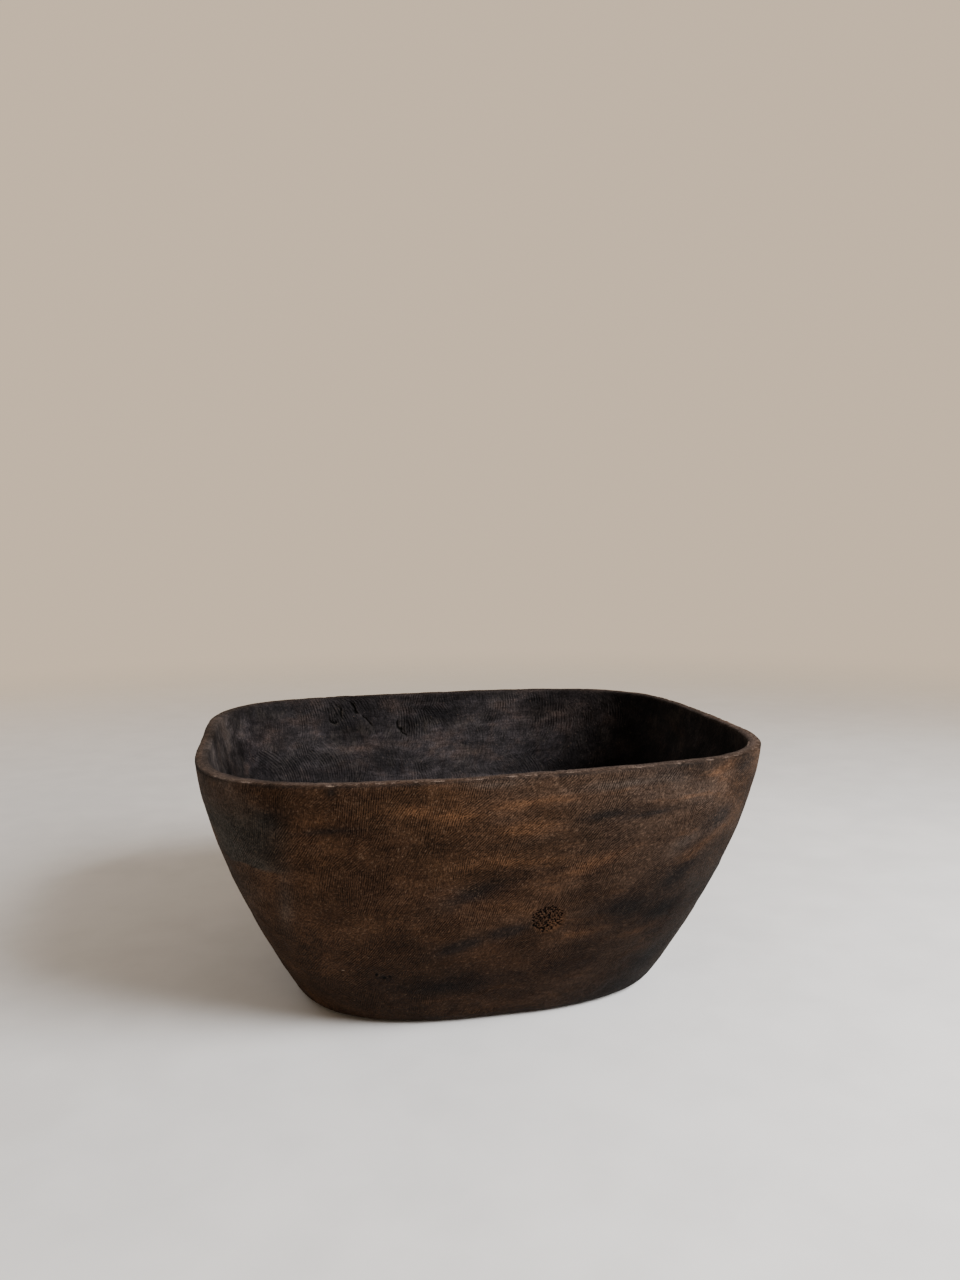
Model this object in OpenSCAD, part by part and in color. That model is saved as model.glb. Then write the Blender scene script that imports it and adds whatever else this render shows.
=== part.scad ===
// A deep rounded-rectangle bowl, hewn from one block of wood.
// X runs along the bowl, Y across it, and Z up from the flat foot that it stands on.

/* [Rim] */
// Length over the rim, along X
rim_length = 600; // [420:10:760]
// Width over the rim, along Y
rim_width = 516; // [360:6:660]
// Squareness of the rim's outline, where 2 is an ellipse
rim_squareness = 3.9; // [3:0.1:5]
// Thickness of the wall at the rim
rim_thickness = 13; // [10:1:20]
// Radius of the rim's worn outer and inner edges
rim_edge = 2.5; // [1:0.5:4]

/* [Foot] */
// Length of the foot, along X, where the walls would meet the ground
foot_length = 408; // [280:4:500]
// Width of the foot, along Y, where the walls would meet the ground
foot_width = 334; // [240:4:420]
// Squareness of the foot's outline, where 2 is an ellipse
foot_squareness = 2.8; // [2.2:0.1:4]
// Height of the softened edge round the foot, and how far it is drawn in
foot_edge = 12; // [6:1:20]

/* [Walls] */
// Height from the ground to the rim
height = 274; // [200:2:340]
// How far the two ends swell out on their way up, where 1 is straight
end_swell = 1.48; // [1:0.02:2.2]
// How far the two long sides swell out on their way up, where 1 is straight
side_swell = 1.9; // [1:0.05:2.4]

/* [Hollow] */
// Thickness of the wall down at the floor, measured level
low_wall = 26; // [20:1:34]
// Thickness of the floor at its edge
floor_thickness = 27; // [18:1:40]
// How much thinner the floor is in the middle than at its edge
floor_dish = 5; // [0:1:8]
// Height of the round corner between the floor and the walls
corner_height = 55; // [30:5:80]
// How far the round corner reaches in over the floor
corner_reach = 60; // [30:5:90]

/* [Hand work] */
// How far the rim rises and falls from level
rim_wave = 1.2; // [0:0.1:3]
// How far the walls wander from a true outline
wall_wave = 1.5; // [0:0.1:3]

/* [Hidden] */

// Points in each ring, and rings in each stretch of the section
points_around = 100;
wall_rings = 15;
edge_rings = 3;
corner_rings = 6;
floor_rings = 3;

// Thickening of the wall follows this power of the distance below the rim
wall_growth = 1.3;

// A level ring is [half length, half width, squareness, height].
function outer_ring(t) = [
    rim_length / 2 - (rim_length - foot_length) / 2 * pow(1 - t, end_swell),
    rim_width / 2 - (rim_width - foot_width) / 2 * pow(1 - t, side_swell),
    foot_squareness + (rim_squareness - foot_squareness) * t,
    height * t
];

function inset(ring, by) = [ring[0] - by, ring[1] - by, ring[2], ring[3]];

function wall_at(t) = rim_thickness + (low_wall - rim_thickness) * pow(1 - t, wall_growth);

function inner_ring(t) = inset(outer_ring(t), wall_at(t));

// Point s of the way round a quadratic bend from a to c, with its corner at b.
function bend(a, b, c, s) = (1 - s) * (1 - s) * a + 2 * s * (1 - s) * b + s * s * c;

// The corner of a bend: the wall's own slope carried on from a ring down to a level.
function carried_down(ring, ring_below, level) =
    let (share = (ring[3] - level) / (ring[3] - ring_below[3]))
    ring + (ring_below - ring) * share;

// A nearby height, as a share of the whole, for reading a wall's slope.
slope_step = 0.004;

// Foot: in from the ground, round the softened edge and up onto the wall.
edge_share = foot_edge / height;
edge_top = outer_ring(edge_share);
edge_corner = carried_down(edge_top, outer_ring(edge_share - slope_step), 0);
edge_foot = inset(edge_corner, foot_edge);
foot_rings = [for (i = [edge_rings:-1:1]) bend(edge_top, edge_corner, edge_foot, i / edge_rings)];

// Outer wall, closer together towards the foot, where it turns most.
rim_share = (height - rim_edge) / height;
outer_wall = [for (i = [0:wall_rings])
    outer_ring(edge_share + (rim_share - edge_share) * pow(i / wall_rings, 1.15))];

// Rim: a flat top between two worn edges.
function rim_bend(angle) = [rim_edge * (1 - cos(angle)), height - rim_edge * (1 - sin(angle))];
function rim_ring(by, level) = [
    rim_length / 2 - by,
    rim_width / 2 - by,
    rim_squareness,
    level
];
rim_out = [for (i = [1:edge_rings])
    let (at = rim_bend(90 * i / edge_rings)) rim_ring(at[0], at[1])];
rim_in = [for (i = [edge_rings:-1:1])
    let (at = rim_bend(90 * i / edge_rings)) rim_ring(rim_thickness - at[0], at[1])];

// Hollow: down the inner wall, round the corner and in over the floor.
corner_share = (floor_thickness + corner_height) / height;
inner_wall = [for (i = [0:wall_rings])
    inner_ring(rim_share + (corner_share - rim_share) * i / wall_rings)];
corner_top = inner_ring(corner_share);
corner_turn = carried_down(corner_top, inner_ring(corner_share - slope_step), floor_thickness);
corner_floor = inset(corner_turn, corner_reach);
corner = [for (i = [1:corner_rings])
    bend(corner_top, corner_turn, corner_floor, i / corner_rings)];

function floor_ring(share) = [
    corner_floor[0] * share,
    corner_floor[1] * share,
    corner_floor[2],
    floor_thickness - floor_dish * (1 - share * share)
];
floor_part = [for (i = [floor_rings - 1:-1:1]) floor_ring(i / floor_rings)];

rings = concat(foot_rings, outer_wall, rim_out, rim_in, inner_wall, corner, floor_part);

// The wander of hand work, from -1 to 1 round the bowl.
function wall_wander(angle) = 0.6 * sin(3 * angle + 20) + 0.4 * sin(5 * angle + 130);
function rim_wander(angle) = 0.7 * sin(2 * angle + 200) + 0.3 * sin(5 * angle + 40);

// One point of a ring: a rounded-rectangle outline, with the wander of hand work.
function ring_point(ring, angle) =
    let (
        c = cos(angle),
        s = sin(angle),
        reach = pow(pow(abs(c), ring[2]) + pow(abs(s), ring[2]), -1 / ring[2]),
        drift = 1 + wall_wave * wall_wander(angle) / (rim_length / 2),
        lift = rim_wave * rim_wander(angle) * pow(ring[3] / height, 3)
    )
    [ring[0] * reach * c * drift, ring[1] * reach * s * drift, ring[3] + lift];

function ring_points(ring) = [for (i = [0:points_around - 1])
    ring_point(ring, 360 * i / points_around)];

// The wander moves the middle of the bowl a little, so it is brought back over the origin.
widest = ring_points(outer_ring(rim_share));
function middle(values) = (max(values) + min(values)) / 2;
centre = [middle([for (p = widest) p[0]]), middle([for (p = widest) p[1]]), 0];

module bowl() {
    n = points_around;
    last = len(rings) - 1;
    floor_middle = [0, 0, floor_thickness - floor_dish];
    points = concat([for (ring = rings) each ring_points(ring)], [floor_middle]);
    foot_face = [[for (i = [0:n - 1]) i]];
    walls = [for (k = [0:last - 1], i = [0:n - 1])
        let (j = (i + 1) % n)
        each [[k * n + i, (k + 1) * n + i, (k + 1) * n + j],
              [k * n + i, (k + 1) * n + j, k * n + j]]];
    floor_fan = [for (i = [0:n - 1]) [last * n + i, len(points) - 1, last * n + (i + 1) % n]];
    color([0.27, 0.17, 0.11])
        translate(-centre)
            polyhedron(points, concat(foot_face, walls, floor_fan), convexity = 4);
}

bowl();
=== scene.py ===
import math

import bpy
import numpy as np
from mathutils import Matrix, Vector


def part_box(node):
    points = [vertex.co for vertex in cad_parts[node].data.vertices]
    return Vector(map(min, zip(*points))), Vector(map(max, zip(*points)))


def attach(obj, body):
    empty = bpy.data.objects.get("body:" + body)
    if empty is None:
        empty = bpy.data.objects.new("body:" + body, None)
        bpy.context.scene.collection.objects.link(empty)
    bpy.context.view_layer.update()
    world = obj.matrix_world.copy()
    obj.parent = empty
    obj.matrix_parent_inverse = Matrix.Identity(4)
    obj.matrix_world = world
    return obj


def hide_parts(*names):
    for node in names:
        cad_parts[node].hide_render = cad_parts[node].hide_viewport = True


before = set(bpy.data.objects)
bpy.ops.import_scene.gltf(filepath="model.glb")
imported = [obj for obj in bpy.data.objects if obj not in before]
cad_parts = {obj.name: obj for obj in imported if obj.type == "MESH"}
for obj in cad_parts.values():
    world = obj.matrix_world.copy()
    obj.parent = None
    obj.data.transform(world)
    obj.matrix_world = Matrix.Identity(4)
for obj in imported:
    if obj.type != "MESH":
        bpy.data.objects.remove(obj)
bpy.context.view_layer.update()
bowlLow, bowlHigh = (np.array(corner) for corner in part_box("bowl"))
print("frame loaded, bowl", [round(side, 4) for side in bowlHigh - bowlLow])


# The camera stands in front of one long side, with the bowl turned a little away from it
cameraPlace = {
    "bowlTurn": math.radians(11.36),  # how far the bowl's length is turned from the picture's width
    "away": 1.1053,  # m, level, from the bowl's middle
    "aside": 0.0151,
    "height": 0.4820,
    "lookDown": math.radians(5.67),
    "roll": math.radians(-0.67),
    "lens": 27.06,  # mm, on a sensor 36 mm along its long side
}


def placed(side, top, back, where):
    # The matrix of an object whose own axes are side, top and back
    return Matrix([*zip(side, top, back, where), (0, 0, 0, 1)])


def added(name, data):
    # A new object of that data, put into the scene
    made = bpy.data.objects.new(name, data)
    bpy.context.scene.collection.objects.link(made)
    return made


def makeCamera(place):
    turn, down, roll = place["bowlTurn"], place["lookDown"], place["roll"]
    right = np.array([math.cos(turn), -math.sin(turn), 0])
    ahead = np.array([math.sin(turn), math.cos(turn), 0])
    upward = np.array([0, 0, 1])
    where = right * place["aside"] - ahead * place["away"] + upward * place["height"]
    look = ahead * math.cos(down) - upward * math.sin(down)
    top = ahead * math.sin(down) + upward * math.cos(down)
    side = right * math.cos(roll) + top * math.sin(roll)
    top = top * math.cos(roll) - right * math.sin(roll)
    data = bpy.data.cameras.new("camera")
    data.lens = place["lens"]
    data.sensor_width = 36
    camera = added("camera", data)
    camera.matrix_world = placed(side, top, -look, where)
    bpy.context.scene.camera = camera


makeCamera(cameraPlace)
print("camera is set")


# Form of the bowl, in metres unless a note says otherwise
bowlForm = {
    "rimSquareness": 3.9,  # 2 is an ellipse
    "footLength": 0.68,  # share of the rim's length
    "footWidth": 0.647,  # share of the rim's width
    "footSquareness": 2.8,
    "footEdge": 0.012,
    "endSwell": 1.48,  # 1 is a straight wall
    "sideSwell": 1.9,
    "rimThickness": 0.013,
    "rimEdge": 0.0025,
    "lowWall": 0.026,
    "wallGrowth": 1.3,
    "floorThickness": 0.027,
    "floorDish": 0.005,
    "cornerHeight": 0.055,
    "cornerReach": 0.06,
    "rimWave": 0.0012,
    "wallWave": 0.0015,
}

# Marks that the wood carries. Places are x and z, in metres, on the wall that a name says
knotMark = {
    "x": 0.0327,
    "z": 0.1258,
    "radius": 0.0165,
    "pits": 104,
    "pitWidth": 0.0014,
    "pitSizes": (0.7, 1.25),  # shares of that width
    "pitDepths": (0.55, 1),  # shares of the depth
    "pitJitter": 0.34,  # share of the gap between pits
    "depth": 0.0017,
    "sunk": 0.0004,
    "swelling": 0.0004,
}
wallCracks = [  # torn grain on the hollow's far side: points, width, depth
    ([(-0.151, 0.2462), (-0.147, 0.241), (-0.1425, 0.2388), (-0.1385, 0.2402)], 0.0011, 0.0016),
    ([(-0.1405, 0.266), (-0.1345, 0.257), (-0.133, 0.244)], 0.0012, 0.0015),
    ([(-0.1195, 0.2665), (-0.114, 0.256), (-0.11, 0.2505)], 0.0016, 0.0018),
    ([(-0.105, 0.25), (-0.099, 0.244), (-0.094, 0.2388), (-0.0905, 0.231)], 0.001, 0.0016),
    ([(-0.0865, 0.2249), (-0.083, 0.219)], 0.0009, 0.001),
    ([(-0.056, 0.24), (-0.0545, 0.231), (-0.05, 0.225), (-0.0416, 0.2155)], 0.0016, 0.0016),
    ([(-0.018, 0.238), (-0.02, 0.225), (-0.015, 0.214)], 0.002, 0.0009),
    ([(0.033, 0.204), (0.039, 0.202)], 0.0012, 0.001),
    ([(0.045, 0.204), (0.0475, 0.201)], 0.0012, 0.0012),
]

# How fine the mesh is, in metres between its lines
meshGrain = {
    "sideColumns": 300,  # round each of the four sides
    "finerColumns": [  # side, x, reach, and how much denser
        (2, knotMark["x"], 0.021, 4.2), (2, -0.155, 0.03, 0.8), (0, -0.11, 0.045, 1.2),
    ],
    "wall": 0.0021,
    "rim": 0.0009,
    "rimReach": 0.012,
    "knot": 0.0005,
    "knotReach": 0.019,
    "footEdge": 0.0015,
    "tornHeight": 0.235,  # rows in the hollow are denser round the torn grain
    "tornReach": 0.035,
    "tornExtra": 0.8,
}


def shareOf(low, high, value):
    # 0 below low, 1 above high, and smooth between
    t = np.clip((value - low) / (high - low), 0, 1)
    return t * t * (3 - 2 * t)


def hill(distance, width):
    return np.exp(-((distance / width) ** 2))


def latticeNumbers(cells, seed):
    # A repeatable number from 0 to 1 for each whole-number cell
    mixed = np.full(cells.shape[:-1], 40503 + seed * 7919, np.uint64)
    lowHalf = np.uint64(0xFFFFFFFF)
    for k, prime in enumerate((73856093, 19349663, 83492791)[: cells.shape[-1]]):
        number = cells[..., k].astype(np.int64).astype(np.uint64)
        mixed = (mixed ^ (number * np.uint64(prime))) & lowHalf
        mixed = (mixed * np.uint64(2654435761)) & lowHalf
        mixed = mixed ^ (mixed >> np.uint64(15 + k))
    return mixed.astype(float) / 0xFFFFFFFF


def noise(points, size, seed):
    # Smooth noise from -1 to 1 with features of that size, which may differ along each axis
    scaled = points / np.asarray(size)
    cell = np.floor(scaled).astype(np.int64)
    part = scaled - cell
    part = part * part * part * (part * (part * 6 - 15) + 10)
    total = 0
    for corner in np.ndindex(2, 2, 2):
        weight = np.prod(np.where(corner, part, 1 - part), axis=-1)
        total = total + weight * latticeNumbers(cell + corner, seed)
    return total * 2 - 1


def layeredNoise(points, size, seed, layers=3):
    total = sum(0.5**k * noise(points, np.asarray(size) / 2**k, seed + k) for k in range(layers))
    return total / sum(0.5**k for k in range(layers))


def wander(angle):
    return 0.6 * np.sin(3 * angle + math.radians(20)) + 0.4 * np.sin(5 * angle + math.radians(130))


def rimRise(angle):
    return 0.7 * np.sin(2 * angle + math.radians(200)) + 0.3 * np.sin(5 * angle + math.radians(40))


def outerRing(form, size, share):
    share = np.asarray(share, float)
    return np.stack([
        size[0] / 2 * (1 - (1 - form["footLength"]) * (1 - share) ** form["endSwell"]),
        size[1] / 2 * (1 - (1 - form["footWidth"]) * (1 - share) ** form["sideSwell"]),
        form["footSquareness"] + (form["rimSquareness"] - form["footSquareness"]) * share,
        size[2] * share,
    ], axis=-1)


def inset(ring, by):
    by = np.asarray(by, float)
    return ring - np.stack([by, by, 0 * by, 0 * by], axis=-1)


def innerRing(form, size, share):
    growth = (1 - np.asarray(share, float)) ** form["wallGrowth"]
    thickness = form["rimThickness"] + (form["lowWall"] - form["rimThickness"]) * growth
    return inset(outerRing(form, size, share), thickness)


def carriedDown(ring, below, level):
    return ring + (below - ring) * (ring[3] - level) / (ring[3] - below[3])


def bend(start, corner, end, share):
    share = np.asarray(share, float)[:, None]
    return (1 - share) ** 2 * start + 2 * share * (1 - share) * corner + share**2 * end


def profile(form, size):
    # The section from the foot's edge, up the outside, over the rim and down to the floor's edge
    t = np.linspace(0, 1, 160)
    step = 0.004  # share of the height over which a wall's slope is read
    edgeShare = form["footEdge"] / size[2]
    edgeTop = outerRing(form, size, edgeShare)
    edgeCorner = carriedDown(edgeTop, outerRing(form, size, edgeShare - step), 0)
    foot = bend(edgeTop, edgeCorner, inset(edgeCorner, form["footEdge"]), 1 - t)
    rimShare = 1 - form["rimEdge"] / size[2]
    outside = outerRing(form, size, edgeShare + (rimShare - edgeShare) * t)

    def rimRings(by, drop):
        by = np.asarray(by, float)
        ring = inset(outerRing(form, size, np.ones_like(by)), by)
        ring[:, 3] -= drop
        return ring

    turn = t * math.pi / 2
    edge = form["rimEdge"]
    rimOut = rimRings(edge * (1 - np.cos(turn)), edge * (1 - np.sin(turn)))
    rimTop = rimRings(edge + (form["rimThickness"] - 2 * edge) * t, 0)
    rimIn = rimRings(form["rimThickness"] - edge * (1 - np.cos(turn[::-1])), edge * (1 - np.sin(turn[::-1])))
    cornerShare = (form["floorThickness"] + form["cornerHeight"]) / size[2]
    inside = innerRing(form, size, rimShare + (cornerShare - rimShare) * t)
    cornerTop = innerRing(form, size, cornerShare)
    cornerTurn = carriedDown(cornerTop, innerRing(form, size, cornerShare - step), form["floorThickness"])
    corner = bend(cornerTop, cornerTurn, inset(cornerTurn, form["cornerReach"]), t)
    return [
        ("foot", foot), ("outside", outside), ("rim", rimOut), ("rim", rimTop), ("rim", rimIn),
        ("inside", inside), ("corner", corner),
    ]


def ringPoints(form, size, rings, angles):
    # rings is (rows, 4), angles (columns,): the result is (rows, columns, 3)
    c, s = np.cos(angles)[None], np.sin(angles)[None]
    a, b, n, z = (rings[:, k][:, None] for k in range(4))
    reach = (np.abs(c) ** n + np.abs(s) ** n) ** (-1 / n)
    drift = 1 + form["wallWave"] * wander(angles)[None] / (size[0] / 2)
    lift = form["rimWave"] * rimRise(angles)[None] * (z / size[2]) ** 3
    return np.stack([a * reach * c * drift, b * reach * s * drift, z + lift + 0 * c], axis=-1)


def evenSteps(places, density, count):
    # count + 1 places along a line, closer together where density is high
    amount = np.concatenate([[0], np.cumsum(0.5 * (density[1:] + density[:-1]) * np.diff(places))])
    return np.interp(np.linspace(0, amount[-1], count + 1), amount, places)


def columnAngles(form, size, grain):
    # The four sides meet at the corners, and each has the same number of columns
    angles = []
    for side in range(4):
        these = math.pi / 4 + side * math.pi / 2 + np.linspace(0, math.pi / 2, 1801)
        place = ringPoints(form, size, outerRing(form, size, [0.6]), these)[0]
        along = np.concatenate([[0], np.cumsum(np.linalg.norm(np.diff(place, axis=0), axis=1))])
        density = np.ones_like(along)
        for onSide, middle, reach, extra in grain["finerColumns"]:
            if onSide == side:
                density += extra * hill(place[:, 0] - middle, reach)
        steps = evenSteps(along, density, grain["sideColumns"])[:-1]
        angles.append(np.interp(steps, along, these))
    return np.concatenate(angles) % (2 * math.pi)


def rowsOf(form, size, grain):
    rings, kinds = [], []
    for kind, stretch in profile(form, size):
        gap = np.linalg.norm(np.diff(stretch[:, [1, 3]], axis=0), axis=1)
        along = np.concatenate([[0], np.cumsum(gap)])
        spacing = {"foot": grain["footEdge"], "rim": grain["rim"]}.get(kind, grain["wall"])
        density = np.full_like(along, 1 / spacing)
        if kind == "outside":
            finer = 1 / grain["knot"] - 1 / spacing
            density += finer * hill(stretch[:, 3] - knotMark["z"], grain["knotReach"])
            density += 1 / spacing * hill(stretch[:, 3] - size[2], grain["rimReach"])
        if kind == "inside":
            finer = grain["tornExtra"] / spacing
            density += finer * hill(stretch[:, 3] - grain["tornHeight"], grain["tornReach"])
        count = max(4, round(np.sum(0.5 * (density[1:] + density[:-1]) * np.diff(along))))
        places = evenSteps(along, density, count)
        if rings:
            places = places[1:]  # the stretch before ends where this one starts
        rings.append(np.stack([np.interp(places, along, stretch[:, k]) for k in range(4)], axis=-1))
        kinds += [kind] * len(places)
    return np.concatenate(rings), np.array(kinds)


def surfaceNormals(points):
    # Normals of a grid whose columns close on themselves
    across = np.roll(points, -1, axis=1) - np.roll(points, 1, axis=1)
    along = np.gradient(points, axis=0)
    normal = np.cross(across, along)
    return normal / np.linalg.norm(normal, axis=-1, keepdims=True)


def cutsNearby(u, v, cell, around, seed, looseness):
    # The nine cuts nearest to each place, one by one: the cut's number and how far off its middle is
    count = max(1, round(around / cell[0]))
    su, sv = u / around * count, v / cell[1]
    iu, iv = np.floor(su).astype(np.int64), np.floor(sv).astype(np.int64)
    for du, dv in np.ndindex(3, 3):
        cu, cv = iu + du - 1, iv + dv - 1
        number = np.stack([cu % count, cv], axis=-1)
        offU = su - (cu + 0.5 + looseness * (latticeNumbers(number, seed) - 0.5))
        offV = sv - (cv + 0.5 + looseness * (latticeNumbers(number, seed + 1) - 0.5))
        yield number, offU, offV


def scoops(u, v, cell, around, seed):
    # Shallow cuts side by side: 0 in the middle of each and up to about 0.5 on the ridges between them
    softness = 0.06
    total = 0
    for _, offU, offV in cutsNearby(u, v, cell, around, seed, 0.7):
        total = total + np.exp(-(offU**2 + offV**2) / softness)
    return np.clip(-softness * np.log(np.maximum(total, 1e-12)), -0.1, 0.7)


def tilts(u, v, cell, around, seed):
    # Flats side by side, each leaning its own way, from about -1 to 1
    total, weights = 0, 1e-9
    for number, offU, offV in cutsNearby(u, v, cell, around, seed, 0.6):
        lean = 2 * math.pi * latticeNumbers(number, seed + 2)
        weight = np.exp(-(offU**2 + offV**2) / 0.09)
        total = total + weight * 2 * (offU * np.cos(lean) + offV * np.sin(lean))
        weights = weights + weight
    return total / weights


def distanceToPath(x, z, path):
    # Distance to a line of short straights, and how far along it from 0 to 1
    best, place = np.full(x.shape, 9.0), np.zeros(x.shape)
    for k, ((x0, z0), (x1, z1)) in enumerate(zip(path[:-1], path[1:])):
        dx, dz = x1 - x0, z1 - z0
        t = np.clip(((x - x0) * dx + (z - z0) * dz) / (dx * dx + dz * dz), 0, 1)
        d = np.hypot(x - x0 - t * dx, z - z0 - t * dz)
        place = np.where(d < best, (k + t) / (len(path) - 1), place)
        best = np.minimum(best, d)
    return best, place


def knotPits(mark, x, v):
    # Small worm-eaten pits, packed in a rough disc: depth from 0 to 1
    draw = np.random.default_rng(11)
    pits = np.zeros_like(x)
    gap = mark["radius"] * math.sqrt(math.pi / mark["pits"])
    jitter = mark["pitJitter"]
    for row in range(-8, 9):
        for column in range(-8, 9):
            px = (column + 0.5 * (row % 2)) * gap + draw.uniform(-jitter, jitter) * gap
            pv = row * gap * 0.9 + draw.uniform(-jitter, jitter) * gap
            lean = draw.uniform(0, math.pi)
            width = mark["pitWidth"] * draw.uniform(*mark["pitSizes"]) * 0.55
            deep = draw.uniform(*mark["pitDepths"])
            if math.hypot(px, pv) > mark["radius"] * draw.uniform(0.88, 1.02):
                continue
            near = (np.abs(x - px) < 0.004) & (np.abs(v - pv) < 0.004)
            dx, dv = x[near] - px, v[near] - pv
            long = dx * math.cos(lean) + dv * math.sin(lean)
            wide = dv * math.cos(lean) - dx * math.sin(lean)
            shape = np.exp(-((long / (width * 1.7)) ** 2 + (wide / width) ** 2) ** 1.5)
            pits[near] = np.maximum(pits[near], deep * shape)
    return pits


# Hand work on the outside and in the hollow, in metres
handWork = {
    "outerSwell": 0.0007,  # broad unevenness of the outside
    "outerFlat": (0.034, 0.026),  # size of one adze flat outside
    "outerFlatRise": 0.00032,
    "outerGrit": 0.00014,
    "innerSwell": 0.001,
    "innerScoop": (0.021, 0.048),  # size of one gouge cut in the hollow
    "innerScoopDepth": 0.001,
    "innerGrit": 0.0002,
    "floorScoop": (0.03, 0.024),
    "floorScoopDepth": 0.0009,
    "floorSwell": 0.0006,
    "footFlat": (0.036, 0.03),
    "footHollow": 0.0012,
    "rimSwell": 0.0005,
}

# What age did to it: depths in metres
damage = {
    "edgeWear": 0.0008,
    "outerEdge": 0.0022,  # width of the worn strips along the rim
    "innerEdge": 0.0018,
    "nicks": 110,  # how many round the rim
    "nick": 0.0011,
    "nickWidths": (0.0008, 0.0032),
    "innerNicks": 0.3,  # share that sits on the inner edge
    "bite": 0.0024,
    "hole": 0.0014,
    "flake": 0.0006,
    "crack": 0.0016,
    "dip": 0.0007,
    "lip": 0.0004,
}

# Chips on the near side's rim: x, half width and depth
rimChips = [
    (-0.169, 0.004, 0.0024), (-0.137, 0.0013, 0.001), (-0.1255, 0.0018, 0.0009),
    (-0.095, 0.0024, 0.0005), (-0.045, 0.006, 0.0011), (-0.036, 0.0022, 0.0014),
    (-0.029, 0.0012, 0.001), (-0.004, 0.0026, 0.001), (0.006, 0.005, 0.0007),
    (0.016, 0.0018, 0.0012), (0.0335, 0.003, 0.0007), (0.048, 0.009, 0.0004), (0.0655, 0.0025, 0.0006),
]

# Small holes and flaked spots on the near side: x, z and half width
wormHoles = [(-0.1288, 0.0715, 0.0013), (-0.121, 0.0673, 0.0016), (-0.116, 0.069, 0.001)]
flakes = [
    (-0.1601, 0.0747, 0.0026), (-0.1565, 0.0738, 0.002), (-0.1031, 0.0955, 0.0013),
    (-0.137, 0.093, 0.0013), (0.193, 0.176, 0.0014), (-0.175, 0.215, 0.001),
    (-0.148, 0.212, 0.0011), (0.018, 0.205, 0.0009),
]

# Colour patches on the near side: x, z, half length, half height, and slope
tanStreaks = [
    (-0.187, 0.2405, 0.02, 0.005, -0.05), (-0.098, 0.244, 0.02, 0.006, -0.05),
    (-0.065, 0.239, 0.024, 0.007, 0.02), (-0.002, 0.248, 0.032, 0.004, 0.06),
    (0.002, 0.223, 0.03, 0.008, 0.08), (0.071, 0.182, 0.026, 0.006, 0.28),
    (0.153, 0.102, 0.036, 0.006, 0.2), (0.071, 0.106, 0.028, 0.005, 0.12),
    (-0.199, 0.02, 0.03, 0.01, -0.6), (0.208, 0.264, 0.014, 0.005, 0.2),
    (0.19, 0.185, 0.02, 0.005, 0.5), (-0.02, 0.19, 0.06, 0.012, 0.05),
]
darkStains = [
    (-0.224, 0.243, 0.02, 0.01, -0.1), (-0.173, 0.23, 0.022, 0.0035, -0.02),
    (-0.042, 0.16, 0.04, 0.012, 0.35), (-0.008, 0.113, 0.026, 0.009, 0.2),
    (-0.052, 0.101, 0.03, 0.009, 0.25), (0.111, 0.128, 0.032, 0.012, 0),
    (0.154, 0.119, 0.022, 0.009, 0.1), (0.165, 0.154, 0.02, 0.012, 0.45),
    (0.152, 0.051, 0.024, 0.018, 0.5), (0.13, 0.02, 0.034, 0.011, 0.1),
    (0.13, 0.229, 0.034, 0.0035, 0.05), (0.087, 0.232, 0.036, 0.0045, 0.08),
    (0.206, 0.21, 0.018, 0.012, 0.4), (0.239, 0.261, 0.016, 0.012, 0.2),
    (-0.169, 0.267, 0.0045, 0.0045, 0), (-0.121, 0.068, 0.012, 0.005, -0.3),
    (-0.06, 0.055, 0.05, 0.012, 0.05),
]
paleSmears = [
    (-0.213, 0.147, 0.007, 0.036, 0), (0.166, 0.19, 0.014, 0.006, 0.3),
    (0.186, 0.144, 0.007, 0.012, 0), (-0.026, 0.268, 0.03, 0.0035, 0.02),
    (0.104, 0.2615, 0.05, 0.004, 0.04),
]

# Colour patches on the hollow's far side
hollowStains = [
    (-0.117, 0.2265, 0.03, 0.012, 0), (-0.247, 0.201, 0.022, 0.026, 0),
    (-0.2, 0.191, 0.012, 0.01, 0), (-0.035, 0.233, 0.01, 0.016, -0.5),
    (0.043, 0.203, 0.01, 0.004, 0), (-0.055, 0.173, 0.014, 0.012, 0),
    (0.149, 0.175, 0.045, 0.026, 0.2), (0.01, 0.245, 0.03, 0.007, 0),
]
hollowBrowns = [
    (-0.235, 0.234, 0.03, 0.016, 0), (-0.097, 0.2035, 0.03, 0.007, 0.05),
    (0.18, 0.24, 0.07, 0.02, 0),
]
strayPatches = {"count": 46, "length": (0.018, 0.06), "height": (0.004, 0.013), "slope": (-0.15, 0.35)}


def patchStrength(along, up, long, tall, slope):
    # 1 in the middle of a soft-edged patch whose length runs along the grain
    return np.exp(-((along / long) ** 2 + ((up - slope * along) / tall) ** 2) ** 0.9)


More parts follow.
